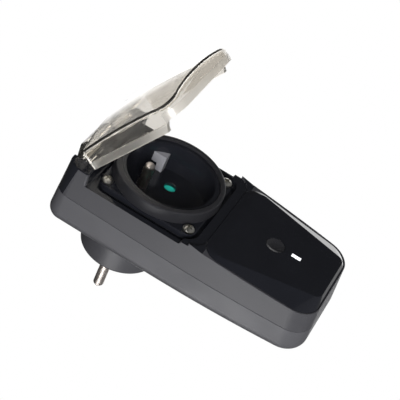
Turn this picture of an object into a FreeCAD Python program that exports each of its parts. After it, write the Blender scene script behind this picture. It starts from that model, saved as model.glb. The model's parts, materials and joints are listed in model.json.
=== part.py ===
"""Outdoor smart plug adaptor: rear plug, shrouded front socket with a hinged clear lid, control panel.

Frame: origin on the plug axis at the face the pins stand on. +Y points into the wall, -Y to the user,
+Z up towards the lid hinge, +X to the right as the user sees it. All sizes are millimetres.
"""

import FreeCAD, Part
import math
import os

from FreeCAD import Vector

# Plug on the rear (round-pin, two pole with earth)
PIN_RADIUS = 2.4
PIN_LENGTH = 19.0
PIN_PITCH = 19.0
SHANK_RADIUS = 2.1
PLUG_RADIUS = 18.4
EARTH_OFFSET = 10.0
EARTH_HOLE_RADIUS = 2.55
BACK_Y = -18.3

# Socket on the front
SOCKET_Z = -8.7
WELL_RADIUS = 20.1
WELL_WALL_RADIUS = 22.3
WELL_RIM_Y = -50.7
WELL_FLOOR_Y = -36.8
FLOOR_THICKNESS = 1.8
COLLAR_RADIUS = 24.8
COLLAR_RIM_Y = -51.8
CONTACT_HOLE_RADIUS = 2.75
FLANGE_HALF = 23.6
FLANGE_Y = -46.0
FLANGE_SCREW = 20.05

# Housing
HALF_WIDTH_FRONT = 28.9
HALF_WIDTH_REAR = 29.4
TAPER_Z = -22.0
TAPER_RADIUS = 600.0
FRONT_Y = -60.0
TOP_Z_FRONT = 27.6
TOP_Z_REAR = 30.6
LOW_Z_FRONT = -90.7
LOW_Z_REAR = -94.6
TOP_CORNER = 6.2
LOW_CORNER = 11.0
BACK_ROUND = 5.8
WALL = 2.2
SEAM_Y = -33.9
SEAM_SLOPE = 0.0215
SEAM_GAP = 0.2

# Front surface, side profile
RIM_Y = -44.7
DECK_Y = -43.0
STEP_Z = -30.4
STEP_Y = -48.1
BREAK_Z = -38.7
BREAK_Y = -46.6
LOW_RIM_Y = -42.7
BLOCK_FOOT_Z = 16.9
BLOCK_Y = -50.9
SEAT_Y = -46.2
SEAT_LOW_Z = -38.1
SEAT_HALF = 29.6
SEAT_CORNER = 8.6

# Control panel
PANEL_TOP_Z = -38.2
PANEL_LOW_Z = -91.8
PANEL_HALF_TOP = 28.3
PANEL_HALF_LOW = 24.6
PANEL_THICKNESS = 2.0
PANEL_RIM = 0.45
PANEL_TOP_CORNER = 8.0
FACET_Y = -47.3
FACET_TOP_Z = -42.9
FACET_LOW_Z = -90.4
FACET_HALF_TOP = 26.2
FACET_HALF_LOW = 14.9
FACET_CORNER = 3.5
BUTTON_Z = -62.5
BUTTON_RADIUS = 4.2
LED_Z = -72.6
LED_HALF_WIDTH = 0.85
LED_HALF_LENGTH = 2.15

# Lid, closed position, and its hinge
HINGE_Y = -48.9
HINGE_Z = 24.2
LID_OPEN = 58.5
LID_Y = -58.7
LID_TOP_Z = 14.3
LID_LOW_Z = -37.6
LID_HALF = 29.0
LID_WALL = 1.5
LID_EDGE = 2.3
LID_SKIRT_Y = -45.0
LID_NOSE_SKIRT_Y = -49.5
LID_SKIRT_LOW_Z = -28.3
LID_CORNER = 8.4
LID_BAND = 3.2
CROWN_ACROSS = 127.0
CROWN_ALONG = 338.0
CROWN_Z = -15.5
ARM_Y = -55.8
ARM_THICKNESS = 2.8
KNUCKLE_RADIUS = 2.9
KNUCKLE_IN = 7.0
KNUCKLE_OUT = 21.0
HINGE_PIN_RADIUS = 1.0
HINGE_PIN_HALF = 25.4

# Circuit board
BOARD_Y = -24.0
BOARD_THICKNESS = 1.6


def box(x0, x1, y0, y1, z0, z1):
    return Part.makeBox(x1 - x0, y1 - y0, z1 - z0, Vector(x0, y0, z0))


def rod_y(x, z, radius, y0, y1):
    return Part.makeCylinder(radius, y1 - y0, Vector(x, y0, z), Vector(0, 1, 0))


def rod_x(y, z, radius, x0, x1):
    return Part.makeCylinder(radius, x1 - x0, Vector(x0, y, z), Vector(1, 0, 0))


def tube_y(x, z, outer, inner, y0, y1):
    return rod_y(x, z, outer, y0, y1).cut(rod_y(x, z, inner, y0 - 1, y1 + 1))


def polygon(points):
    return Part.makePolygon(points + points[:1])


def plate_from_profile(profile, x0, x1):
    """A closed outline given as (y, z) pairs, as thick as x0 to x1."""
    wire = polygon([Vector(x0, y, z) for y, z in profile])
    return Part.Face(wire).extrude(Vector(x1 - x0, 0, 0))


def rounded_block(half, y0, y1, z0, z1, corner):
    """A box with its four edges along Y rounded."""
    block = box(-half, half, y0, y1, z0, z1)
    return block.makeFillet(corner, edges_along_y(block))


def edges_along_y(shape):
    picked = []
    for edge in shape.Edges:
        if len(edge.Vertexes) == 2:
            step = edge.Vertexes[1].Point - edge.Vertexes[0].Point
            if abs(step.y) > 0.9 * step.Length:
                picked.append(edge)
    return picked


def mirror_x(shape):
    return shape.mirror(Vector(0, 0, 0), Vector(1, 0, 0))


def both_sides(shape):
    return Part.makeCompound([shape, mirror_x(shape)])


def body_section(y, inset):
    """Outline of the housing at depth y, moved inwards by inset: sides curve in towards the low end."""
    share = (y - FRONT_Y) / (BACK_Y - FRONT_Y)
    half = HALF_WIDTH_FRONT + share * (HALF_WIDTH_REAR - HALF_WIDTH_FRONT) - inset
    top = TOP_Z_FRONT + share * (TOP_Z_REAR - TOP_Z_FRONT) - inset
    low = LOW_Z_FRONT + share * (LOW_Z_REAR - LOW_Z_FRONT) + inset
    radius = TAPER_RADIUS - inset
    middle = (TAPER_Z + low) / 2

    def side(sign, z):
        return Vector(sign * (half - radius + math.sqrt(radius**2 - (z - TAPER_Z) ** 2)), y, z)

    edges = [
        Part.LineSegment(Vector(-half, y, top), Vector(half, y, top)).toShape(),
        Part.LineSegment(side(-1, low), side(1, low)).toShape(),
    ]
    for sign in (-1, 1):
        edges.append(Part.LineSegment(Vector(sign * half, y, top), side(sign, TAPER_Z)).toShape())
        curve = Part.Arc(side(sign, TAPER_Z), side(sign, middle), side(sign, low))
        edges.append(curve.toShape())
    return Part.Wire(Part.__sortEdges__(edges))


def body_block(inset, y0, y1):
    """The drafted, rounded block that both housing shells are cut from."""
    block = Part.makeLoft([body_section(y0, inset), body_section(y1, inset)], True, True)
    top_edges = [e for e in edges_along_y(block) if e.Vertexes[0].Point.z > 0]
    block = block.makeFillet(TOP_CORNER - inset, top_edges)
    low_edges = [e for e in edges_along_y(block) if e.Vertexes[0].Point.z < TAPER_Z - 20]
    block = block.makeFillet(LOW_CORNER - inset, low_edges)
    return block


def seam_half_space(y_shift, front):
    """Everything in front of the seam plane (or behind it), with the plane moved by y_shift."""
    low, high = -130.0, 70.0
    y_low = SEAM_Y + y_shift - SEAM_SLOPE * (low - SOCKET_Z)
    y_high = SEAM_Y + y_shift - SEAM_SLOPE * (high - SOCKET_Z)
    far = -90.0 if front else 30.0
    return plate_from_profile([(y_low, low), (y_high, high), (far, high), (far, low)], -60, 60)


def panel_plane_y(z):
    """Depth of the sloped front edge of the panel half at height z."""
    slope = (LOW_RIM_Y - BREAK_Y) / (LOW_Z_FRONT - BREAK_Z)
    return BREAK_Y + slope * (z - BREAK_Z)


def outer_profile():
    """Side view of the housing's front surface: panel slope, lid step, rim and hinge block."""
    low, far = -120.0, 60.0
    foot_round = 0.9
    corner = Vector(0, BLOCK_Y, BLOCK_FOOT_Z + 0.3)
    lower = [
        Vector(0, BLOCK_Y, far),
        Vector(0, 30, far),
        Vector(0, 30, low),
        Vector(0, panel_plane_y(low), low),
        Vector(0, BREAK_Y, BREAK_Z),
        Vector(0, STEP_Y, STEP_Z),
        Vector(0, RIM_Y, STEP_Z + 1.4),
        Vector(0, RIM_Y, BLOCK_FOOT_Z),
        corner + Vector(0, foot_round, 0),
    ]
    above = corner + Vector(0, 0, foot_round)
    inward = foot_round * (1 - math.sqrt(0.5))
    edges = [Part.LineSegment(a, b).toShape() for a, b in zip(lower, lower[1:])]
    edges.append(Part.Arc(lower[-1], corner + Vector(0, inward, inward), above).toShape())
    edges.append(Part.LineSegment(above, lower[0]).toShape())
    face = Part.Face(Part.Wire(edges))
    face.translate(Vector(-60, 0, 0))
    return face.extrude(Vector(120, 0, 0))


def inner_profile():
    """Side view of the hollow behind the front surface."""
    deck = DECK_Y + WALL
    skin = 3.9
    return plate_from_profile(
        [
            (30, 60),
            (30, -120),
            (panel_plane_y(-120) + skin, -120),
            (BREAK_Y + skin, BREAK_Z),
            (BREAK_Y + skin, STEP_Z - 3.5 - WALL),
            (deck, STEP_Z - 3.5 - WALL),
            (deck, 60),
        ],
        -60,
        60,
    )


def seam_groove(inset_out, inset_in, half_height):
    """A closed band that follows the housing outline at the seam."""
    ring = body_block(inset_out, FRONT_Y, BACK_Y - 1).cut(body_block(inset_in, FRONT_Y, BACK_Y - 1))
    ring = ring.common(seam_half_space(half_height, True))
    return ring.common(seam_half_space(-half_height, False))


HOUSING_SCREWS = [(-20.8, 21.0), (20.8, 21.0), (-18.6, -82.0), (18.6, -82.0)]
FLANGE_SCREWS = [
    (x, SOCKET_Z + dz) for x in (-FLANGE_SCREW, FLANGE_SCREW) for dz in (-FLANGE_SCREW, FLANGE_SCREW)
]
ARM_SIDES = [(-KNUCKLE_OUT, -KNUCKLE_IN), (KNUCKLE_IN, KNUCKLE_OUT)]


def front_housing():
    outer = body_block(0, FRONT_Y, BACK_Y).common(outer_profile())
    foremost = [e for e in outer.Edges if e.BoundBox.YMax < BLOCK_Y + 0.02]
    crest = [e for e in foremost if e.BoundBox.ZMin > BLOCK_FOOT_Z + 3]
    outer = outer.makeFillet(0.8, crest)
    hollow = body_block(WALL, FRONT_Y, BACK_Y).common(inner_profile())
    shell = outer.cut(hollow).common(seam_half_space(-SEAM_GAP / 2, True))
    deck_pocket = rounded_block(26.4, -70, DECK_Y, SOCKET_Z - 25.2, SOCKET_Z + 24.8, 7.0)
    shell = shell.cut(deck_pocket)
    for x, z in FLANGE_SCREWS:
        shell = shell.fuse(rod_y(x, z, 3.2, DECK_Y, -36.5))
    for x, z in HOUSING_SCREWS:
        boss = rod_y(x, z, 3.4, RIM_Y + 0.5, 0).common(body_block(1, FRONT_Y, BACK_Y))
        boss = boss.common(seam_half_space(-SEAM_GAP / 2, True)).common(outer_profile())
        shell = shell.fuse(boss)
    shell = shell.cut(rod_y(0, SOCKET_Z, WELL_WALL_RADIUS + 0.25, -70, -30))
    for x, z in FLANGE_SCREWS:
        shell = shell.cut(rod_y(x, z, 1.5, DECK_Y - 1, -37.5))
    for x, z in HOUSING_SCREWS:
        shell = shell.cut(rod_y(x, z, 1.5, -40.5, 0))
    shell = shell.cut(panel_slab(0.12, -3.0, PANEL_THICKNESS - 0.8))
    shell = shell.cut(rod_y(0, BUTTON_Z, BUTTON_RADIUS + 0.9, -50, -30))
    shell = shell.cut(led_slot(0.3))
    shell = shell.cut(rounded_block(SEAT_HALF, -70, SEAT_Y, SEAT_LOW_Z, 0, SEAT_CORNER))
    for x0, x1 in ARM_SIDES:
        shell = shell.cut(rod_x(HINGE_Y, HINGE_Z, KNUCKLE_RADIUS + 0.5, x0 - 0.7, x1 + 0.7))
        shell = shell.cut(box(x0 - 0.7, x1 + 0.7, -70, HINGE_Y, HINGE_Z - KNUCKLE_RADIUS - 1.6, 40))
        shell = shell.cut(box(x0 - 0.7, x1 + 0.7, -70, HINGE_Y + KNUCKLE_RADIUS + 0.5, HINGE_Z, 40))
    pin_end = HINGE_PIN_HALF + 0.2
    shell = shell.cut(rod_x(HINGE_Y, HINGE_Z, HINGE_PIN_RADIUS + 0.03, -pin_end, pin_end))
    return shell.cut(seam_groove(0.6, 1.6, 0.85))


def rear_housing():
    outer = body_block(0, FRONT_Y, BACK_Y)
    back_edges = [e for e in outer.Edges if e.BoundBox.YMin > BACK_Y - 0.01]
    outer = outer.makeFillet(BACK_ROUND, back_edges)
    hollow = body_block(WALL, FRONT_Y, BACK_Y - WALL)
    shell = outer.cut(hollow).common(seam_half_space(SEAM_GAP / 2, False))
    for x, z in HOUSING_SCREWS:
        boss = rod_y(x, z, 4.4, FRONT_Y, BACK_Y - 0.5).common(body_block(1, FRONT_Y, BACK_Y))
        shell = shell.fuse(boss.common(seam_half_space(SEAM_GAP / 2, False)))
    for x, z in HOUSING_SCREWS:
        shell = shell.cut(rod_y(x, z, 1.9, -50, 0))
        shell = shell.cut(rod_y(x, z, 3.3, BACK_Y - 3.4, 0))
    shell = shell.cut(rod_y(0, 0, 15.9, BACK_Y - WALL - 1, 0))
    for x, z in BOARD_POSTS:
        shell = shell.fuse(rod_y(x, z, 2.6, BOARD_Y + BOARD_THICKNESS, BACK_Y - WALL + 0.5))
        shell = shell.cut(rod_y(x, z, 1.0, BOARD_Y + BOARD_THICKNESS - 1, BACK_Y - WALL + 0.2))
    return shell.cut(seam_groove(0.6, 1.6, 0.85))


def housing_gasket():
    return seam_groove(0.68, 1.52, 0.78)


def housing_screws():
    screws = []
    for x, z in HOUSING_SCREWS:
        head = rod_y(x, z, 3.0, BACK_Y - 3.3, BACK_Y - 0.9)
        slot = box(x - 2.0, x + 2.0, BACK_Y - 1.9, BACK_Y, z - 0.35, z + 0.35)
        cross = box(x - 0.35, x + 0.35, BACK_Y - 1.9, BACK_Y, z - 2.0, z + 2.0)
        screws.append(rod_y(x, z, 1.45, -40.0, BACK_Y - 3.3).fuse(head).cut(slot).cut(cross))
    return Part.makeCompound(screws)


def panel_slab(grow, lift, depth):
    """Rounded plate that fills the panel recess, from lift to depth behind the sloped edge plane."""
    top, low = PANEL_TOP_Z + grow, PANEL_LOW_Z - grow
    half_top, half_low = PANEL_HALF_TOP + grow, PANEL_HALF_LOW + grow
    corners = [(half_top, top), (half_low, low), (-half_low, low), (-half_top, top)]
    face = Part.Face(polygon([Vector(x, panel_plane_y(z) + lift, z) for x, z in corners]))
    slab = face.extrude(Vector(0, depth - lift, 0))
    top_edges = [e for e in edges_along_y(slab) if e.Vertexes[0].Point.z > BUTTON_Z]
    slab = slab.makeFillet(PANEL_TOP_CORNER + grow, top_edges)
    low_edges = [e for e in edges_along_y(slab) if e.Vertexes[0].Point.z < BUTTON_Z]
    return slab.makeFillet(LOW_CORNER - PANEL_RIM + grow, low_edges)


def front_outline(plate):
    """Outline of the broad face of a plate that lies nearest the user."""
    return max(plate.Faces, key=lambda face: face.Area - face.CenterOfMass.y).OuterWire


def control_panel():
    slab = panel_slab(0, 0, PANEL_THICKNESS - 0.9)
    top = [(FACET_HALF_TOP, FACET_TOP_Z), (FACET_HALF_LOW, FACET_LOW_Z)]
    corners = top + [(-x, z) for x, z in reversed(top)]
    plate = Part.Face(polygon([Vector(x, FACET_Y, z) for x, z in corners])).extrude(Vector(0, 1, 0))
    plate = plate.makeFillet(FACET_CORNER, edges_along_y(plate))
    crown = Part.makeLoft([front_outline(slab), front_outline(plate)], True, True)
    panel = crown.fuse(slab).removeSplitter()
    panel = panel.cut(rod_y(0, BUTTON_Z, BUTTON_RADIUS + 0.15, -50, -30))
    return panel.cut(led_slot(0.1))


def push_button():
    cap = rod_y(0, BUTTON_Z, BUTTON_RADIUS, FACET_Y + 0.1, -42.9)
    dish = Part.makeSphere(12.0, Vector(0, FACET_Y - 11.1, BUTTON_Z))
    skirt = rod_y(0, BUTTON_Z, BUTTON_RADIUS + 0.55, -43.0, -42.2)
    stem = rod_y(0, BUTTON_Z, 1.5, -42.4, BOARD_Y - 4.35)
    return cap.cut(dish).fuse(skirt).fuse(stem).removeSplitter()


def button_boot():
    """Silicone bellows ring that seals the button from behind."""
    ring = tube_y(0, BUTTON_Z, 6.4, 1.9, -39.4, -38.4)
    return ring.fuse(tube_y(0, BUTTON_Z, 6.4, 5.4, -40.35, -39.2)).removeSplitter()


def led_slot(grow):
    """Room for the status light's window, larger than it by grow all round."""
    wide, long = LED_HALF_WIDTH + grow, LED_HALF_LENGTH + grow
    return box(-wide, wide, -50, -30, LED_Z - long, LED_Z + long)


def led_window():
    window = led_slot(0).common(box(-5, 5, FACET_Y - 0.05, -39.0, LED_Z - 5, LED_Z + 5))
    return window.fuse(box(-0.8, 0.8, -39.5, BOARD_Y - 1.5, LED_Z - 1.2, LED_Z + 1.2))


def socket_insert():
    z = SOCKET_Z
    flange = rounded_block(FLANGE_HALF, FLANGE_Y, DECK_Y - 0.5, z - FLANGE_HALF, z + FLANGE_HALF, 6.0)
    rim_edges = [e for e in flange.Edges if max(v.Point.y for v in e.Vertexes) < FLANGE_Y + 0.01]
    flange = flange.makeChamfer(0.5, rim_edges)
    insert = flange.fuse(rod_y(0, z, WELL_WALL_RADIUS, WELL_RIM_Y, -31.0))
    insert = insert.cut(rod_y(0, z, WELL_RADIUS, -60, WELL_FLOOR_Y))
    insert = insert.cut(rod_y(0, z, 20.6, WELL_FLOOR_Y + FLOOR_THICKNESS, -30))
    rib = box(14.4, 21.5, -45.6, -40.6, z + 7.6, z + 14.6).fuse(
        box(14.4, 21.5, -41.0, WELL_FLOOR_Y, z + 7.6, z + 11.0)
    )
    insert = insert.fuse(rib.common(rod_y(0, z, 21.0, -60, WELL_FLOOR_Y + 0.5)))
    for x in (-PIN_PITCH / 2, PIN_PITCH / 2):
        insert = insert.cut(rod_y(x, z, CONTACT_HOLE_RADIUS, -40, -30))
        mouth = Part.makeCone(
            CONTACT_HOLE_RADIUS + 0.4, CONTACT_HOLE_RADIUS, 0.4, Vector(x, WELL_FLOOR_Y, z), Vector(0, 1, 0)
        )
        insert = insert.cut(mouth)
    insert = insert.cut(rod_y(0, z + EARTH_OFFSET, SHANK_RADIUS + 0.05, -40, -30))
    for x, screw_z in FLANGE_SCREWS:
        insert = insert.cut(rod_y(x, screw_z, 1.75, -50, -40))
    return insert.removeSplitter()


def socket_collar():
    z = SOCKET_Z
    height = FLANGE_Y - 0.05 - COLLAR_RIM_Y
    foot = Vector(0, FLANGE_Y - 0.05, z)
    profile = Part.makeCone(COLLAR_RADIUS + 0.1, COLLAR_RADIUS, height, foot, Vector(0, -1, 0))
    outer_rim = [e for e in profile.Edges if e.BoundBox.YMax < COLLAR_RIM_Y + 0.1]
    profile = profile.makeFillet(0.8, outer_rim)
    return profile.cut(rod_y(0, z, WELL_WALL_RADIUS + 0.05, -60, -40))


def flange_seal():
    z = SOCKET_Z
    seal = rounded_block(FLANGE_HALF - 0.4, DECK_Y - 0.45, DECK_Y - 0.02, z - FLANGE_HALF + 0.4,
                         z + FLANGE_HALF - 0.4, 5.6)
    seal = seal.cut(rod_y(0, z, WELL_WALL_RADIUS + 0.3, -60, -40))
    for x, screw_z in FLANGE_SCREWS:
        seal = seal.cut(rod_y(x, screw_z, 1.75, -50, -40))
    return seal


def flange_screws():
    """Pan-head cross-recess screws, one at each flange corner."""
    screws = []
    for x, z in FLANGE_SCREWS:
        ball = Part.makeSphere(3.3, Vector(x, FLANGE_Y + 1.0, z))
        dome = ball.common(rod_y(x, z, 2.65, -60, FLANGE_Y - 0.02))
        shank = rod_y(x, z, 1.45, FLANGE_Y - 0.1, -38.0)
        screw = dome.fuse(shank)
        for angle in (20, 110):
            blade = box(-1.6, 1.6, FLANGE_Y - 3.0, FLANGE_Y - 1.2, -0.35, 0.35)
            blade.rotate(Vector(0, 0, 0), Vector(0, 1, 0), angle)
            blade.translate(Vector(x, 0, z))
            screw = screw.cut(blade)
        screws.append(screw)
    return Part.makeCompound(screws)


def earth_pin():
    z = SOCKET_Z + EARTH_OFFSET
    tip_y = -50.4
    pin = rod_y(0, z, PIN_RADIUS, tip_y + PIN_RADIUS, WELL_FLOOR_Y - 0.05)
    pin = pin.fuse(rod_y(0, z, SHANK_RADIUS, WELL_FLOOR_Y - 1, -30.6))
    pin = pin.fuse(Part.makeSphere(PIN_RADIUS, Vector(0, tip_y + PIN_RADIUS, z)))
    return pin.fuse(rod_y(0, z, 3.6, -34.9, -33.9)).removeSplitter()


def safety_shutter():
    """Cross bar whose two wings close the contact holes; it slides down when both are pushed."""
    z = SOCKET_Z
    wings = both_sides(box(5.6, 13.4, -34.6, -33.2, z - 3.4, z + 3.4))
    bar = box(-6, 6, -34.6, -33.2, z - 3.4, z + 0.4)
    return wings.Solids[0].fuse(wings.Solids[1]).fuse(bar).removeSplitter()


def shutter_carrier():
    """Moulded plate behind the well floor that guides the shutter."""
    z = SOCKET_Z
    plate = rod_y(0, z, 20.3, -32.8, -31.6)
    wall = tube_y(0, z, 20.3, 18.9, -34.8, -32.7)
    carrier = plate.fuse(wall)
    for x in (-PIN_PITCH / 2, PIN_PITCH / 2):
        carrier = carrier.cut(rod_y(x, z, 3.9, -36, -30))
    return carrier.cut(rod_y(0, z + EARTH_OFFSET, PIN_RADIUS + 0.15, -36, -30)).removeSplitter()


def shutter_spring():
    """Small compression spring under the shutter bar."""
    radius, wire, pitch, turns = 0.75, 0.15, 2.1, 7
    helix = Part.makeHelix(pitch, pitch * turns, radius)
    start = Part.Wire(Part.makeCircle(wire, Vector(radius, 0, 0), Vector(0, 1, 0)))
    coil = Part.Wire(helix).makePipeShell([start], True, True)
    coil.translate(Vector(0, -33.9, SOCKET_Z - 3.6 - wire - pitch * turns))
    return coil


def socket_contact(side):
    """Forked spring sleeve behind one contact hole."""
    x = side * PIN_PITCH / 2
    sleeve = tube_y(x, SOCKET_Z, 3.2, 2.3, -31.0, -25.6)
    sleeve = sleeve.cut(box(x - 0.4, x + 0.4, -32, -26.4, SOCKET_Z - 4, SOCKET_Z + 4))
    return sleeve.fuse(rod_y(x, SOCKET_Z, 3.2, -26.0, -25.2)).removeSplitter()


def busbar(side):
    """Brass strip from a socket contact to the plug pin behind it."""
    x = side * PIN_PITCH / 2
    return box(x - 2.6, x + 2.6, -25.15, -24.35, SOCKET_Z - 3.0, 3.4)


def plug_pin(side):
    x = side * PIN_PITCH / 2
    pin = rod_y(x, 0, PIN_RADIUS, 0.02, PIN_LENGTH - 1.6)
    tip = Part.makeCone(PIN_RADIUS, 1.1, 1.6, Vector(x, PIN_LENGTH - 1.6, 0), Vector(0, 1, 0))
    shank = rod_y(x, 0, SHANK_RADIUS, -24.3, 1)
    pin = pin.fuse(tip).fuse(shank).removeSplitter()
    nose = [e for e in pin.Edges if e.BoundBox.YMin > PIN_LENGTH - 1.7]
    return pin.makeFillet(0.9, nose)


def plug_base():
    """Round plug body with earth-clip slots above and below and a hole for an earth pin."""
    base = rod_y(0, 0, PLUG_RADIUS, BACK_Y + 0.02, 0)
    face_edge = [e for e in base.Edges if e.BoundBox.YMin > -0.01]
    base = base.makeFillet(1.4, face_edge)
    base = base.fuse(rod_y(0, 0, 15.8, -22.6, BACK_Y + 0.5))
    base = base.fuse(rod_y(0, 0, 17.6, -22.6, BACK_Y - WALL - 0.05))
    for z in (-PLUG_RADIUS, PLUG_RADIUS):
        base = base.cut(box(-3.4, 3.4, -15.6, 1, z - 2.2, z + 2.2))
    base = base.cut(rod_y(0, EARTH_OFFSET, 3.15, -16.6, 1))
    for x in (-PIN_PITCH / 2, PIN_PITCH / 2):
        base = base.cut(rod_y(x, 0, SHANK_RADIUS + 0.05, -30, 1))
        base = base.cut(rod_y(x, 0, PIN_RADIUS + 0.1, -0.4, 1))
    base = base.cut(box(-1.2, 1.2, -30, -10, 12.6, 14.1))
    return base.removeSplitter()


def plug_earth_clips():
    """Bent spring strips in the slots above and below the plug face."""
    clips = []
    for sign in (-1, 1):
        strip = box(-2.6, 2.6, -15.4, -1.6, 16.5, 17.2)
        bow = rod_x(-8.5, 12.0, 6.2, -2.6, 2.6).cut(rod_x(-8.5, 12.0, 5.6, -3, 3))
        bow = bow.common(box(-3, 3, -12, -5, 16.0, 19.0))
        clip = strip.fuse(bow).removeSplitter()
        if sign < 0:
            clip.rotate(Vector(0, 0, 0), Vector(0, 1, 0), 180)
        clips.append(clip)
    return Part.makeCompound(clips)


def plug_earth_sleeve():
    """Female earth contact in the plug, open towards the wall."""
    return tube_y(0, EARTH_OFFSET, 3.1, EARTH_HOLE_RADIUS, -16.5, -0.4)


def earth_busbar():
    """Strip that joins the socket's earth pin to the plug's earth parts."""
    z = SOCKET_Z + EARTH_OFFSET
    strip = box(-2.2, 2.2, -30.5, -29.7, z - 2.6, 13.9)
    drop = box(-1.0, 1.0, -29.9, -10.5, 13.15, 13.9)
    return strip.fuse(drop).removeSplitter()


BOARD_POSTS = [(-20.5, -42.5), (20.5, -42.5), (0, -86.0)]


def circuit_board():
    board = box(-23.2, 23.2, BOARD_Y, BOARD_Y + BOARD_THICKNESS, -88.6, -37.0)
    board = board.makeFillet(7.5, [e for e in edges_along_y(board) if e.Vertexes[0].Point.z < -60])
    for x, z in HOUSING_SCREWS[2:]:
        board = board.cut(rod_y(x, z, 5.0, -30, -20))
    for x, z in BOARD_POSTS:
        board = board.cut(rod_y(x, z, 1.4, -30, -20))
    return board


def board_screws():
    screws = []
    for x, z in BOARD_POSTS:
        head = rod_y(x, z, 2.3, BOARD_Y - 1.5, BOARD_Y - 0.02)
        slot = box(x - 1.6, x + 1.6, BOARD_Y - 2, BOARD_Y - 0.9, z - 0.3, z + 0.3)
        screws.append(head.cut(slot).fuse(rod_y(x, z, 0.95, BOARD_Y - 0.1, BOARD_Y + 3.6)))
    return Part.makeCompound(screws)


def on_board(x, z, half_x, half_z, height, gap=0.02):
    return box(x - half_x, x + half_x, BOARD_Y - gap - height, BOARD_Y - gap, z - half_z, z + half_z)


def relay():
    case = on_board(-13.2, -55.5, 7.7, 9.5, 12.6)
    return case.makeFillet(0.8, edges_along_y(case))


def supply_capacitor():
    can = rod_y(14.5, -50.5, 4.0, BOARD_Y - 11.0, BOARD_Y - 0.02)
    return can.makeFillet(0.6, [e for e in can.Edges if e.BoundBox.YMax < BOARD_Y - 10.9])


def supply_transformer():
    core = on_board(14.0, -63.5, 6.5, 7.0, 9.0)
    window = on_board(14.0, -63.5, 7.0, 4.6, 9.5).cut(on_board(14.0, -63.5, 2.6, 4.7, 7.6))
    bobbin = on_board(14.0, -63.5, 5.6, 4.2, 7.2)
    return core.cut(window).fuse(bobbin).removeSplitter()


def supply_choke():
    return tube_y(-3.0, -42.6, 3.2, 1.1, BOARD_Y - 6.0, BOARD_Y - 0.02)


def varistor():
    return rod_x(BOARD_Y - 4.6, -43.5, 4.4, 5.4, 8.4)


def fuse_link():
    return Part.makeCylinder(1.6, 8.4, Vector(9.2, BOARD_Y - 1.8, -41.2), Vector(1, 0, 0))


def radio_module():
    base = on_board(0, -78.6, 8.0, 4.4, 0.8)
    can = box(-6.4, 6.4, BOARD_Y - 3.2, BOARD_Y - 0.8, -82.1, -75.1)
    return base.fuse(can).removeSplitter()


def tact_switch():
    case = on_board(0, BUTTON_Z, 3.0, 3.0, 3.2)
    return case.makeFillet(0.4, edges_along_y(case))


def status_led():
    return on_board(0, LED_Z, 0.8, 1.0, 1.2)


def lid_barrel(inset):
    """Barrel whose front gives the lid its crown: a full arc across and a slow one lengthwise."""
    peak = LID_Y + inset
    along = CROWN_ALONG - inset
    axis_y = peak + CROWN_ACROSS - inset
    low, high = CROWN_Z - 40, CROWN_Z + 40

    def front(z):
        return Vector(0, peak + along - math.sqrt(along**2 - (z - CROWN_Z) ** 2), z)

    corners = [front(high), Vector(0, axis_y, high), Vector(0, axis_y, low), front(low)]
    edges = [Part.LineSegment(a, b).toShape() for a, b in zip(corners, corners[1:])]
    edges.append(Part.Arc(front(low), front(CROWN_Z), front(high)).toShape())
    return Part.Face(Part.Wire(edges)).revolve(Vector(0, axis_y, 0), Vector(0, 0, 1), 360)


def lid_form(inset, top_z, y1):
    """Outer form of the lid, or its hollow when inset: round free corners, crowned round-edged front."""
    half = LID_HALF - inset
    block = box(-half, half, LID_Y - 1, y1, LID_LOW_Z + inset, top_z)
    low_edges = [e for e in edges_along_y(block) if e.Vertexes[0].Point.z < 0]
    block = block.makeFillet(LID_CORNER - inset, low_edges).common(lid_barrel(inset))
    rim = [e for e in block.Edges if e.BoundBox.YMax < -50 and e.BoundBox.ZMin < top_z - 1]
    return block.makeFillet(LID_EDGE - inset, rim)


def lid_nose_cut():
    """Space under the short nose skirt: the long side skirt ends in a curved step."""
    foot = Vector(-40, LID_SKIRT_Y + 1, LID_SKIRT_LOW_Z)
    turn = Vector(-40, LID_SKIRT_Y, LID_SKIRT_LOW_Z)
    nose = Vector(-40, LID_NOSE_SKIRT_Y, LID_SKIRT_LOW_Z - 4.9)
    away = [Vector(-40, LID_NOSE_SKIRT_Y, LID_LOW_Z - 3), Vector(-40, LID_SKIRT_Y + 1, LID_LOW_Z - 3)]
    edges = [Part.LineSegment(foot, turn).toShape()]
    edges.append(Part.Arc(turn, Vector(-40, LID_SKIRT_Y - 3.2, LID_SKIRT_LOW_Z - 1.7), nose).toShape())
    rest = [nose] + away + [foot]
    edges += [Part.LineSegment(a, b).toShape() for a, b in zip(rest, rest[1:])]
    return Part.Face(Part.Wire(edges)).extrude(Vector(80, 0, 0))


def lid_closed():
    """Clear cover over the socket, in its closed position, with its two hinge arms."""
    outer = lid_form(0, LID_TOP_Z, LID_SKIRT_Y)
    hollow = lid_form(LID_WALL, LID_TOP_Z + 5, LID_SKIRT_Y + 1)
    thick = LID_WALL + 0.7
    core = rounded_block(LID_HALF - thick, -70, -30, LID_LOW_Z + thick, 30, LID_CORNER - thick)
    band = outer.cut(core).common(box(-40, 40, LID_SKIRT_Y - LID_BAND, 0, -60, LID_TOP_Z - 1.2))
    lid = outer.cut(hollow).fuse(band).cut(lid_nose_cut())
    for x0, x1 in ARM_SIDES:
        lid = lid.fuse(hinge_arm(x0, x1))
    lid = lid.cut(rod_x(HINGE_Y, HINGE_Z, HINGE_PIN_RADIUS + 0.04, -30, 30))
    return lid.removeSplitter()


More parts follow.
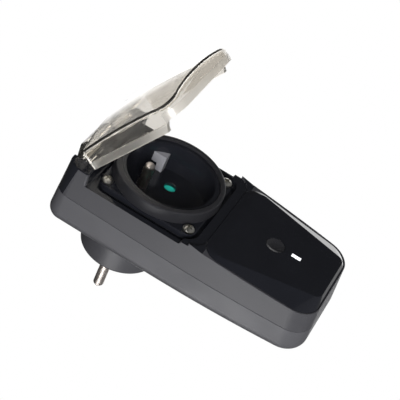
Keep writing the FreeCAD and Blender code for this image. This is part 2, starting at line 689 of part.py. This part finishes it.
def hinge_arm(x0, x1):
    """Flat arm from the lid's hinge end to a knuckle round the pin."""
    reach = KNUCKLE_RADIUS * math.sqrt(0.5)
    profile = [
        (ARM_Y + 0.9, LID_TOP_Z - 2.5),
        (ARM_Y, LID_TOP_Z + 2.2),
        (ARM_Y, HINGE_Z - 5.0),
        (HINGE_Y - reach, HINGE_Z + reach),
        (HINGE_Y - reach, HINGE_Z - reach),
        (ARM_Y + ARM_THICKNESS, HINGE_Z - 6.0),
        (ARM_Y + ARM_THICKNESS, LID_TOP_Z - 2.5),
    ]
    arm = plate_from_profile(profile, x0, x1)
    return arm.fuse(rod_x(HINGE_Y, HINGE_Z, KNUCKLE_RADIUS, x0, x1))


def lid():
    cover = lid_closed()
    cover.rotate(Vector(0, HINGE_Y, HINGE_Z), Vector(-1, 0, 0), LID_OPEN)
    return cover


def hinge_pin():
    return rod_x(HINGE_Y, HINGE_Z, HINGE_PIN_RADIUS, -HINGE_PIN_HALF, HINGE_PIN_HALF)


def hinge_friction_washers():
    washers = []
    for x0 in (KNUCKLE_IN - 0.62, 0.08 - KNUCKLE_IN):
        ring = rod_x(HINGE_Y, HINGE_Z, 2.6, x0, x0 + 0.54)
        washers.append(ring.cut(rod_x(HINGE_Y, HINGE_Z, HINGE_PIN_RADIUS + 0.03, -30, 30)))
    return Part.makeCompound(washers)


def nodes():
    return {
        "front_housing": front_housing(),
        "rear_housing": rear_housing(),
        "housing_gasket": housing_gasket(),
        "housing_screws": housing_screws(),
        "control_panel": control_panel(),
        "push_button": push_button(),
        "button_boot": button_boot(),
        "led_window": led_window(),
        "socket_insert": socket_insert(),
        "socket_collar": socket_collar(),
        "flange_seal": flange_seal(),
        "flange_screws": flange_screws(),
        "earth_pin": earth_pin(),
        "safety_shutter": safety_shutter(),
        "shutter_carrier": shutter_carrier(),
        "shutter_spring": shutter_spring(),
        "live_contact": socket_contact(-1),
        "neutral_contact": socket_contact(1),
        "live_busbar": busbar(-1),
        "neutral_busbar": busbar(1),
        "live_pin": plug_pin(-1),
        "neutral_pin": plug_pin(1),
        "plug_base": plug_base(),
        "plug_earth_clips": plug_earth_clips(),
        "plug_earth_sleeve": plug_earth_sleeve(),
        "earth_busbar": earth_busbar(),
        "circuit_board": circuit_board(),
        "board_screws": board_screws(),
        "relay": relay(),
        "supply_capacitor": supply_capacitor(),
        "supply_transformer": supply_transformer(),
        "supply_choke": supply_choke(),
        "varistor": varistor(),
        "fuse_link": fuse_link(),
        "radio_module": radio_module(),
        "tact_switch": tact_switch(),
        "status_led": status_led(),
        "lid": lid(),
        "hinge_pin": hinge_pin(),
        "hinge_friction_washers": hinge_friction_washers(),
    }


def main():
    os.makedirs("parts", exist_ok=True)
    for name, shape in nodes().items():
        shape.exportStep(f"parts/{name}.step")
        kinds = "valid" if shape.isValid() else "NOT VALID"
        print(f"{name:24s} {len(shape.Solids)} solid(s) {shape.Volume:10.1f} mm3 {kinds}")


main()
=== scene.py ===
import json
import math

import bpy
from mathutils import Matrix, Vector


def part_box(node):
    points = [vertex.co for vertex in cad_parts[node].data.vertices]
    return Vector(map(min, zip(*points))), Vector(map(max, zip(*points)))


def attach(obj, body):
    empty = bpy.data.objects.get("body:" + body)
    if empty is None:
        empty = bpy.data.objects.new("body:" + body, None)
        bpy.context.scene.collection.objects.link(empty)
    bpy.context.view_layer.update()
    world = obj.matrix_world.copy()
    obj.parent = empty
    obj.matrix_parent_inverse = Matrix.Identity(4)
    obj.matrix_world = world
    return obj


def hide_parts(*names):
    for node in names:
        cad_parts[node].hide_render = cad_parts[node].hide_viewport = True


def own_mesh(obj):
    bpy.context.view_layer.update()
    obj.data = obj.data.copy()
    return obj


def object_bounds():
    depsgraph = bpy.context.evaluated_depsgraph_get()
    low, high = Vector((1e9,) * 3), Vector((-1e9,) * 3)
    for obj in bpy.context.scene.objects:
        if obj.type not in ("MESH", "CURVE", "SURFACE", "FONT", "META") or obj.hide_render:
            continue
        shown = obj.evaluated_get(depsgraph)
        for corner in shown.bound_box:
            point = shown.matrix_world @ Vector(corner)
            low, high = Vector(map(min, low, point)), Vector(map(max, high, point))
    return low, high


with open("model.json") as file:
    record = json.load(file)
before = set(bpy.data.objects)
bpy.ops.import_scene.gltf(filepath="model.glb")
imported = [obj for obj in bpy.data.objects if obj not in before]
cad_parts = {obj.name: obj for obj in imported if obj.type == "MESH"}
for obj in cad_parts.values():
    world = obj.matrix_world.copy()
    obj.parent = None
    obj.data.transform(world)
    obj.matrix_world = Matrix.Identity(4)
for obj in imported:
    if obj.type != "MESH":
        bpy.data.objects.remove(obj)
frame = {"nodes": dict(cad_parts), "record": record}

# Lengths are in metres, in the frame of the CAD: -Y is the socket's side, +Z is up.
MM = 0.001
cad_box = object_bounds()

# ---------------------------------------------------------------- camera, floor, world, lights
AIM_TO_EYE = Vector((-0.76917, -0.62722, -0.12235))
CAMERA_UP = Vector((0.49190, -0.70333, 0.51319))
EYE = Vector((-0.43913, -0.40497, -0.09454))
LENS_MM = 119.84
SENSOR_MM = 36.0
CLIP_NEAR = 0.01
CLIP_FAR = 50.0
SCENE_CENTRE = (0.0, -0.03, -0.03)
BACKDROP_SIDE = (0.86, 0.47, -0.19)
BACKDROP_EDGE = (0.70, 0.84)
ROOM_FILL = 0.05
BACKDROP_GLOW = 1.55
FLOOR_HALF = 3.0
FLOOR_DROP = 0.7
FLOOR_FADE = (1.5, 3.0)
FLOOR_NEAR = 0.15
FLOOR_FAR = 0.95
WHITE = (1, 1, 1, 1)


def add_camera():
    """A long lens from the near side, turned so that the object's top points up to the left."""
    data = bpy.data.cameras.new("camera")
    data.lens = LENS_MM
    data.sensor_width = SENSOR_MM
    data.clip_start = CLIP_NEAR
    data.clip_end = CLIP_FAR
    camera = bpy.data.objects.new("camera", data)
    bpy.context.scene.collection.objects.link(camera)
    back = AIM_TO_EYE.normalized()
    right = CAMERA_UP.cross(back).normalized()
    up = back.cross(right)
    turn = Matrix((right, up, back)).transposed()
    camera.matrix_world = Matrix.Translation(EYE) @ turn.to_4x4()
    bpy.context.scene.camera = camera


def add_area_light(name, place, side, power, glossy=True):
    """A square lamp aimed at the object and out of the eye's sight."""
    data = bpy.data.lights.new(name, "AREA")
    data.shape = "SQUARE"
    data.size = side
    data.energy = power
    lamp = bpy.data.objects.new(name, data)
    bpy.context.scene.collection.objects.link(lamp)
    lamp.location = place
    aim = Vector(SCENE_CENTRE) - Vector(place)
    lamp.rotation_euler = aim.to_track_quat("-Z", "Y").to_euler()
    lamp.visible_camera = False
    lamp.visible_glossy = glossy


def node_tree(owner):
    owner.use_nodes = True
    owner.node_tree.nodes.clear()
    return owner.node_tree


def fade_along_backdrop(tree, place, span, levels):
    """A level that goes from the first to the second as the place crosses the span."""
    along = tree.nodes.new("ShaderNodeVectorMath")
    along.operation = "DOT_PRODUCT"
    along.inputs[1].default_value = BACKDROP_SIDE
    tree.links.new(place, along.inputs[0])
    ramp = tree.nodes.new("ShaderNodeMapRange")
    ramp.interpolation_type = "SMOOTHSTEP"
    ramp.inputs["From Min"].default_value, ramp.inputs["From Max"].default_value = span
    ramp.inputs["To Min"].default_value, ramp.inputs["To Max"].default_value = levels
    tree.links.new(along.outputs["Value"], ramp.inputs["Value"])
    return ramp.outputs["Result"]


def bright_to_eye(tree, dim):
    """Plain white to the eye, also through clear plastic, and the dim level to everything else."""
    path = tree.nodes.new("ShaderNodeLightPath")
    seen = tree.nodes.new("ShaderNodeMath")
    seen.operation = "MAXIMUM"
    tree.links.new(path.outputs["Is Camera Ray"], seen.inputs[0])
    tree.links.new(path.outputs["Is Transmission Ray"], seen.inputs[1])
    level = tree.nodes.new("ShaderNodeMapRange")
    tree.links.new(seen.outputs[0], level.inputs["Value"])
    tree.links.new(dim, level.inputs["To Min"])
    level.inputs["To Max"].default_value = 1.0
    return level.outputs["Result"]


def add_world():
    """White backdrop low beyond the object, a dark room on the near side and above."""
    world = bpy.data.worlds.new("studio")
    bpy.context.scene.world = world
    tree = node_tree(world)
    out = tree.nodes.new("ShaderNodeOutputWorld")
    coords = tree.nodes.new("ShaderNodeTexCoord")
    levels = (ROOM_FILL, BACKDROP_GLOW)
    glow = fade_along_backdrop(tree, coords.outputs["Generated"], BACKDROP_EDGE, levels)
    back = tree.nodes.new("ShaderNodeBackground")
    back.inputs["Color"].default_value = WHITE
    tree.links.new(bright_to_eye(tree, glow), back.inputs["Strength"])
    tree.links.new(back.outputs[0], out.inputs["Surface"])


def floor_white():
    """White to the eye; in reflections it is dim close by and bright far beyond the object."""
    material = bpy.data.materials.new("floor_white")
    tree = node_tree(material)
    out = tree.nodes.new("ShaderNodeOutputMaterial")
    coords = tree.nodes.new("ShaderNodeTexCoord")
    levels = (FLOOR_NEAR, FLOOR_FAR)
    glow = fade_along_backdrop(tree, coords.outputs["Object"], FLOOR_FADE, levels)
    shader = tree.nodes.new("ShaderNodeEmission")
    shader.inputs["Color"].default_value = WHITE
    tree.links.new(bright_to_eye(tree, glow), shader.inputs["Strength"])
    tree.links.new(shader.outputs[0], out.inputs["Surface"])
    return material


def add_floor():
    half = FLOOR_HALF
    z = cad_box[0][2] - FLOOR_DROP
    mesh = bpy.data.meshes.new("floor")
    corners = [(-half, -half, z), (half, -half, z), (half, half, z), (-half, half, z)]
    mesh.from_pydata(corners, [], [(0, 1, 2, 3)])
    mesh.materials.append(floor_white())
    floor = bpy.data.objects.new("floor", mesh)
    bpy.context.scene.collection.objects.link(floor)


def add_lights():
    """A soft key and a small spark on the near side, two cards low and behind, one light beyond."""
    add_area_light("side_key", place=(-0.8, -0.46, -0.26), side=0.4, power=15.5, glossy=False)
    add_area_light("sparkle", place=(-0.8, -0.46, 0.05), side=0.08, power=0.5)
    add_area_light("wall_card", place=(-0.50, 0.48, -0.10), side=0.35, power=1.4)
    add_area_light("low_card", place=(-0.20, 0.0, -0.55), side=0.5, power=2.2, glossy=False)
    add_area_light("far_side", place=(0.7, 0.1, 0.5), side=0.5, power=1.0, glossy=False)


# ---------------------------------------------------------------- material building blocks
NOISE_LOW = 0.3
NOISE_HIGH = 0.7


class Surface:
    """One principled material and short ways to wire its procedural detail."""

    def __init__(self, name, colour, roughness):
        self.material = bpy.data.materials.new(name)
        self.tree = node_tree(self.material)
        out = self.node("OutputMaterial")
        self.shader = self.node("BsdfPrincipled")
        self.shader.inputs["Base Color"].default_value = (*colour, 1)
        self.shader.inputs["Roughness"].default_value = roughness
        self.link(self.shader.outputs[0], out.inputs["Surface"])
        self.coords = self.node("TexCoord")
        self.normal = None

    def node(self, kind):
        return self.tree.nodes.new("ShaderNode" + kind)

    def link(self, source, target):
        self.tree.links.new(source, target)

    def math(self, operation, first, second=None):
        node = self.node("Math")
        node.operation = operation
        for socket, value in zip(node.inputs, (first, second)):
            if isinstance(value, (int, float)):
                socket.default_value = value
            elif value is not None:
                self.link(value, socket)
        return node.outputs[0]

    def noise(self, scale, detail=2.0, stretch=(1, 1, 1)):
        mapping = self.node("Mapping")
        mapping.inputs["Scale"].default_value = stretch
        self.link(self.coords.outputs["Object"], mapping.inputs["Vector"])
        node = self.node("TexNoise")
        node.inputs["Scale"].default_value = scale
        node.inputs["Detail"].default_value = detail
        self.link(mapping.outputs[0], node.inputs["Vector"])
        return node.outputs[0]

    def ramp(self, value, low, high, from_low=NOISE_LOW, from_high=NOISE_HIGH):
        node = self.node("MapRange")
        node.inputs["From Min"].default_value = from_low
        node.inputs["From Max"].default_value = from_high
        node.inputs["To Min"].default_value = low
        node.inputs["To Max"].default_value = high
        self.link(value, node.inputs["Value"])
        return node.outputs["Result"]

    def blend_colour(self, share, first, second):
        node = self.node("Mix")
        node.data_type = "RGBA"
        self.link(share, node.inputs["Factor"])
        colour_a, colour_b = node.inputs[6], node.inputs[7]
        for socket, value in ((colour_a, first), (colour_b, second)):
            if isinstance(value, tuple):
                socket.default_value = (*value, 1)
            else:
                self.link(value, socket)
        blended = node.outputs[2]
        return blended

    def soft_edges(self, radius):
        node = self.node("Bevel")
        node.samples = 4
        node.inputs["Radius"].default_value = radius
        self.normal = node.outputs[0]
        self.link(self.normal, self.shader.inputs["Normal"])
        return self

    def bump(self, height, strength, distance):
        node = self.node("Bump")
        node.inputs["Strength"].default_value = strength
        node.inputs["Distance"].default_value = distance
        self.link(height, node.inputs["Height"])
        if self.normal is not None:
            self.link(self.normal, node.inputs["Normal"])
        self.normal = node.outputs[0]
        self.link(self.normal, self.shader.inputs["Normal"])
        return self

    def vary_colour(self, first, second, scale):
        tone = self.blend_colour(self.noise(scale), first, second)
        self.link(tone, self.shader.inputs["Base Color"])

    def vary_roughness(self, low, high, scale):
        self.link(self.ramp(self.noise(scale), low, high), self.shader.inputs["Roughness"])

    def position(self):
        parts = self.node("SeparateXYZ")
        self.link(self.coords.outputs["Object"], parts.inputs[0])
        return parts.outputs


def shade(colour, factor):
    return tuple(channel * factor for channel in colour)


# ---------------------------------------------------------------- plastics
SATIN = (0.034, 0.034, 0.038)
GLOSS = (0.0075, 0.008, 0.0105)
SHELL_EDGE = 0.35 * MM
PART_EDGE = 0.3 * MM
GRAIN_SCALE = 3200
GRAIN_HEIGHT = 0.03 * MM
FINE_HEIGHT = 0.02 * MM


def satin_plastic(name, colour, roughness=0.42, grain=0.35):
    """Fine spark-eroded grain with slow changes of sheen."""
    tone_scale, sheen_scale = 90, 60
    surface = Surface(name, colour, roughness).soft_edges(SHELL_EDGE)
    surface.vary_colour(shade(colour, 0.88), shade(colour, 1.12), tone_scale)
    surface.vary_roughness(roughness - 0.05, roughness + 0.06, sheen_scale)
    return surface.bump(surface.noise(GRAIN_SCALE, 3.0), grain, GRAIN_HEIGHT)


def gloss_plastic(name, colour, roughness=0.1):
    """Polished moulding: faint flow waves and hairline wipe marks."""
    tone_scale, sheen_scale, flow_scale, wipe_scale = 70, 140, 45, 900
    flow_height, wipe_height = 0.2 * MM, 0.01 * MM
    across_wipes = (1, 1, 7)
    surface = Surface(name, colour, roughness).soft_edges(PART_EDGE)
    surface.vary_colour(shade(colour, 0.85), shade(colour, 1.15), tone_scale)
    surface.vary_roughness(roughness - 0.03, roughness + 0.05, sheen_scale)
    surface.bump(surface.noise(flow_scale), 0.06, flow_height)
    return surface.bump(surface.noise(wipe_scale, 2.0, across_wipes), 0.04, wipe_height)


def front_shell():
    """Glossy face and hinge end; satin side walls, and satin all round the control panel."""
    shell_low, shell_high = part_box("front_housing")
    panel_top_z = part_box("control_panel")[1].z
    wall_x = shell_high.x - 1.92 * MM
    low_end_z = panel_top_z + 2.2 * MM
    satin_end_z = panel_top_z - 1.5 * MM
    cap_y = shell_low.y + 0.4 * MM
    cap_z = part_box("hinge_pin")[0].z - 0.8 * MM
    cap_slope = 0.163
    side_limit = 0.55
    gloss_roughness, satin_roughness = 0.12, 0.42
    surface = Surface("front_shell_plastic", SATIN, satin_roughness).soft_edges(SHELL_EDGE)
    x, y, z = surface.position()
    facing = surface.node("SeparateXYZ")
    surface.link(surface.coords.outputs["Normal"], facing.inputs[0])
    facing_y = facing.outputs[1]
    sideways = surface.math("LESS_THAN", surface.math("ABSOLUTE", facing_y), side_limit)
    outside = surface.math("GREATER_THAN", surface.math("ABSOLUTE", x), wall_x)
    outside = surface.math("MAXIMUM", outside, surface.math("LESS_THAN", z, low_end_z))
    edge = surface.math("MULTIPLY", surface.math("SUBTRACT", y, cap_y), cap_slope)
    below = surface.math("LESS_THAN", z, surface.math("ADD", edge, cap_z))
    satin = surface.math("MULTIPLY", surface.math("MULTIPLY", sideways, outside), below)
    satin = surface.math("MAXIMUM", satin, surface.math("LESS_THAN", z, satin_end_z))
    tone_scale = 90
    wall = surface.blend_colour(surface.noise(tone_scale), shade(SATIN, 0.95), shade(SATIN, 1.12))
    tone = surface.blend_colour(satin, GLOSS, wall)
    surface.link(tone, surface.shader.inputs["Base Color"])
    roughness = surface.ramp(satin, gloss_roughness, satin_roughness, 0, 1)
    surface.link(roughness, surface.shader.inputs["Roughness"])
    height = surface.math("MULTIPLY", surface.noise(GRAIN_SCALE, 3.0), satin)
    return surface.bump(height, 0.35, GRAIN_HEIGHT)


def socket_insert():
    """Dark heat-resistant plastic; inside the well, rib and walls are a lighter satin grey, partly
    the plastic's own grey and partly painted light standing in for the light that falls into the
    well.
    """
    low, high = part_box("socket_insert")
    centre_z = (low.z + high.z) / 2
    well_radius = high.x - 3.6 * MM
    floor_y = low.y + 13.8 * MM
    # Greys for the well's inside: partly the plastic's own tone, partly painted light.
    well_grey_painted_lit, well_grey_painted_lit_pale = (0.16, 0.16, 0.175), (0.19, 0.19, 0.205)
    dark_scale, painted_lit_tone_scale, bump_scale = 110, 160, 2600
    dark_roughness, rib_roughness = 0.2, 0.4
    surface = Surface("insert_plastic", GLOSS, dark_roughness).soft_edges(PART_EDGE)
    x, y, z = surface.position()
    dz = surface.math("SUBTRACT", z, centre_z)
    square = surface.math("ADD", surface.math("MULTIPLY", x, x), surface.math("MULTIPLY", dz, dz))
    inside = surface.math("LESS_THAN", square, well_radius**2)
    # Mask of the well's inside: its lighter grey is partly painted light for the light falling into
    # the well.
    painted_lit_well = surface.math("MULTIPLY", inside, surface.math("LESS_THAN", y, floor_y))
    dark = surface.blend_colour(surface.noise(dark_scale), shade(GLOSS, 0.8), shade(GLOSS, 1.2))
    # Lighter grey inside the well, partly painted light; the rest of the insert keeps the dark
    # gloss tone.
    painted_lit_grey = surface.blend_colour(surface.noise(painted_lit_tone_scale), well_grey_painted_lit, well_grey_painted_lit_pale)
    surface.link(surface.blend_colour(painted_lit_well, dark, painted_lit_grey), surface.shader.inputs["Base Color"])
    roughness = surface.ramp(painted_lit_well, dark_roughness, rib_roughness, 0, 1)
    surface.link(roughness, surface.shader.inputs["Roughness"])
    return surface.bump(surface.noise(bump_scale, 3.0), 0.15, FINE_HEIGHT)


def light_pipe():
    """Milky clear plastic with a cool light behind it."""
    cool_light, glow = (0.93, 0.95, 1.0, 1), 0.9
    cloud_scale, bump_scale = 300, 1500
    surface = Surface("light_pipe", (0.9, 0.9, 0.92), 0.3)
    surface.shader.inputs["Emission Color"].default_value = cool_light
    surface.shader.inputs["Emission Strength"].default_value = glow
    surface.vary_colour((0.86, 0.87, 0.9), (0.95, 0.95, 0.96), cloud_scale)
    return surface.bump(surface.noise(bump_scale), 0.1, FINE_HEIGHT)


def rubber(name, colour):
    """Soft silicone with a dusty, slightly uneven skin."""
    dust_scale, skin_scale, skin_height = 250, 1800, 0.04 * MM
    surface = Surface(name, colour, 0.62)
    surface.vary_colour(shade(colour, 0.8), shade(colour, 1.3), dust_scale)
    return surface.bump(surface.noise(skin_scale, 4.0), 0.5, skin_height)


# ---------------------------------------------------------------- the clear lid
def clear_lid():
    """Clear polycarbonate; the thick rim of the skirt is slightly milky and frosted."""
    hinge = next(j for j in frame["record"]["behaviour"]["joints"] if j["name"] == "lid_hinge")
    swing = math.radians(hinge["range_deg"][0])
    _, axis_y, axis_z = hinge["pos_m"]
    rim_depth, nose_depth, nose_start, arm_end = 0.7 * MM, -3.8 * MM, -54.0 * MM, -10.0 * MM
    smoke = (0.70, 0.67, 0.62)
    clear_share, frosted_share, cloud_share = 0.985, 0.93, 0.015
    clear_roughness, frosted_roughness = 0.03, 0.28
    cloud_scale, wave_scale, wave_height = 120, 30, 0.3 * MM
    surface = Surface("clear_lid", smoke, clear_roughness)
    surface.shader.inputs["IOR"].default_value = 1.5
    _, y, z = surface.position()
    dy = surface.math("SUBTRACT", y, axis_y)
    dz = surface.math("SUBTRACT", z, axis_z)
    depth = surface.math("ADD", surface.math("MULTIPLY", dy, math.cos(swing)),
                         surface.math("MULTIPLY", dz, math.sin(swing)))
    length = surface.math("SUBTRACT", surface.math("MULTIPLY", dz, math.cos(swing)),
                          surface.math("MULTIPLY", dy, math.sin(swing)))
    rim = surface.math("GREATER_THAN", depth, rim_depth)
    at_nose = surface.math("LESS_THAN", length, nose_start)
    nose_rim = surface.math("MULTIPLY", surface.math("GREATER_THAN", depth, nose_depth), at_nose)
    past_arms = surface.math("LESS_THAN", length, arm_end)
    frosted = surface.math("MULTIPLY", surface.math("MAXIMUM", rim, nose_rim), past_arms)
    cloud = surface.ramp(surface.noise(cloud_scale), -cloud_share, cloud_share)
    clear_part = surface.ramp(frosted, clear_share, frosted_share, 0, 1)
    clearness = surface.math("ADD", clear_part, cloud)
    surface.link(clearness, surface.shader.inputs["Transmission Weight"])
    roughness = surface.ramp(frosted, clear_roughness, frosted_roughness, 0, 1)
    surface.link(roughness, surface.shader.inputs["Roughness"])
    return surface.bump(surface.noise(wave_scale), 0.05, wave_height)


# ---------------------------------------------------------------- metals
def plated(name, colour, roughness, brush=(1, 1, 1), marks=0.12):
    """Metal with a slightly uneven sheen and fine tool marks, stretched along the brushing."""
    tone_scale, sheen_scale, mark_scale = 220, 380, 1400
    surface = Surface(name, colour, roughness)
    surface.shader.inputs["Metallic"].default_value = 1.0
    surface.vary_colour(shade(colour, 0.9), shade(colour, 1.06), tone_scale)
    surface.vary_roughness(roughness - 0.06, roughness + 0.08, sheen_scale)
    return surface.bump(surface.noise(mark_scale, 3.0, brush), marks, FINE_HEIGHT)


# ---------------------------------------------------------------- circuit board
def solder_mask():
    """Green lacquer over a faint weave."""
    tone_scale, weave_scale = 260, 700
    surface = Surface("board", (0.01, 0.12, 0.05), 0.35)
    surface.vary_colour((0.008, 0.09, 0.035), (0.02, 0.16, 0.07), tone_scale)
    return surface.bump(surface.noise(weave_scale, 1.0), 0.4, GRAIN_HEIGHT)


# ---------------------------------------------------------------- one material for each slot
MATERIALS = {
    "shell_front": front_shell(),
    "shell_rear": satin_plastic("rear_shell_plastic", (0.05, 0.05, 0.055)),
    "panel": gloss_plastic("panel_gloss", GLOSS, 0.09),
    "button": gloss_plastic("button_gloss", (0.016, 0.016, 0.018), 0.16),
    "light_pipe": light_pipe(),
    "insert": socket_insert(),
    "collar": satin_plastic("collar_matte", (0.014, 0.014, 0.016), 0.4, 0.25),
    "elastomer": rubber("elastomer", (0.02, 0.02, 0.022)),
    "nickel": plated("nickel", (0.86, 0.79, 0.74), 0.42, (1, 0.05, 1), 0.05),
    "brass": plated("brass", (0.78, 0.62, 0.33), 0.3),
    "steel": plated("steel", (0.80, 0.78, 0.72), 0.34),
    "teal": satin_plastic("teal_plastic", (0.03, 0.62, 0.5), 0.4, 0.2),
    "plug_black": satin_plastic("plug_plastic", (0.036, 0.036, 0.04), 0.4),
    "clear_lid": clear_lid(),
    "board": solder_mask(),
    "component_blue": gloss_plastic("component_blue", (0.02, 0.08, 0.35), 0.35),
    "component_dark": satin_plastic("component_dark", (0.02, 0.02, 0.02)),
    "ferrite": satin_plastic("ferrite", (0.05, 0.05, 0.055), 0.6, 0.6),
    "ceramic": satin_plastic("ceramic", (0.75, 0.7, 0.55), 0.5),
    "tin": plated("tin", (0.75, 0.75, 0.76), 0.32),
}


# ---------------------------------------------------------------- the shutter's spring
SPRING_WIRE = 0.15 * MM
SPRING_TURNS = 7
RINGS_PER_TURN = 28
SPRING_RINGS = SPRING_TURNS * RINGS_PER_TURN + 1
WIRE_SIDES = 10


def coil_points(low, high):
    """Rings of points along a helix that fills the box between two corners."""
    centre = (low + high) / 2
    radius = (high.x - low.x) / 2 - SPRING_WIRE
    height = high.z - low.z - 2 * SPRING_WIRE
    points = []
    for step in range(SPRING_RINGS):
        share = step / (SPRING_RINGS - 1)
        turn = 2 * math.pi * SPRING_TURNS * share
        outward = Vector((math.cos(turn), math.sin(turn), 0))
        middle = Vector((centre.x, centre.y, low.z + SPRING_WIRE + height * share))
        for side in range(WIRE_SIDES):
            angle = 2 * math.pi * side / WIRE_SIDES
            reach = outward * (radius + SPRING_WIRE * math.cos(angle))
            points.append(middle + reach + Vector((0, 0, SPRING_WIRE * math.sin(angle))))
    return points


def coil_faces():
    """Quads between neighbouring rings, and a flat cap at each end of the wire."""
    faces = [tuple(range(WIRE_SIDES))]
    for step in range(SPRING_RINGS - 1):
        for side in range(WIRE_SIDES):
            here = step * WIRE_SIDES + side
            beside = step * WIRE_SIDES + (side + 1) % WIRE_SIDES
            faces.append((here, here + WIRE_SIDES, beside + WIRE_SIDES, beside))
    last_ring = range((SPRING_RINGS - 1) * WIRE_SIDES, SPRING_RINGS * WIRE_SIDES)
    faces.append(tuple(reversed(last_ring)))
    return faces


def coil_spring():
    """The shutter's compression spring, with its turns."""
    low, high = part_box("shutter_spring")
    faces = coil_faces()
    mesh = bpy.data.meshes.new("coil_spring")
    mesh.from_pydata(coil_points(low, high), [], faces)
    mesh.polygons.foreach_set("use_smooth", [True] * len(faces))
    mesh.materials.append(MATERIALS["steel"].material)
    spring = bpy.data.objects.new("coil_spring", mesh)
    bpy.context.scene.collection.objects.link(spring)
    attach(spring, "housing")
    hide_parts("shutter_spring")
    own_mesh(spring)


# ---------------------------------------------------------------- the whole scene
def dress_cad_nodes():
    """Give every CAD node the material of its slot."""
    for row in frame["record"]["subparts"]:
        node = frame["nodes"][row["node"]]
        node.data.materials.clear()
        node.data.materials.append(MATERIALS[row["material_slot"]].material)


bpy.context.scene.view_settings.view_transform = "Standard"
add_camera()
add_world()
add_floor()
add_lights()
dress_cad_nodes()
coil_spring()
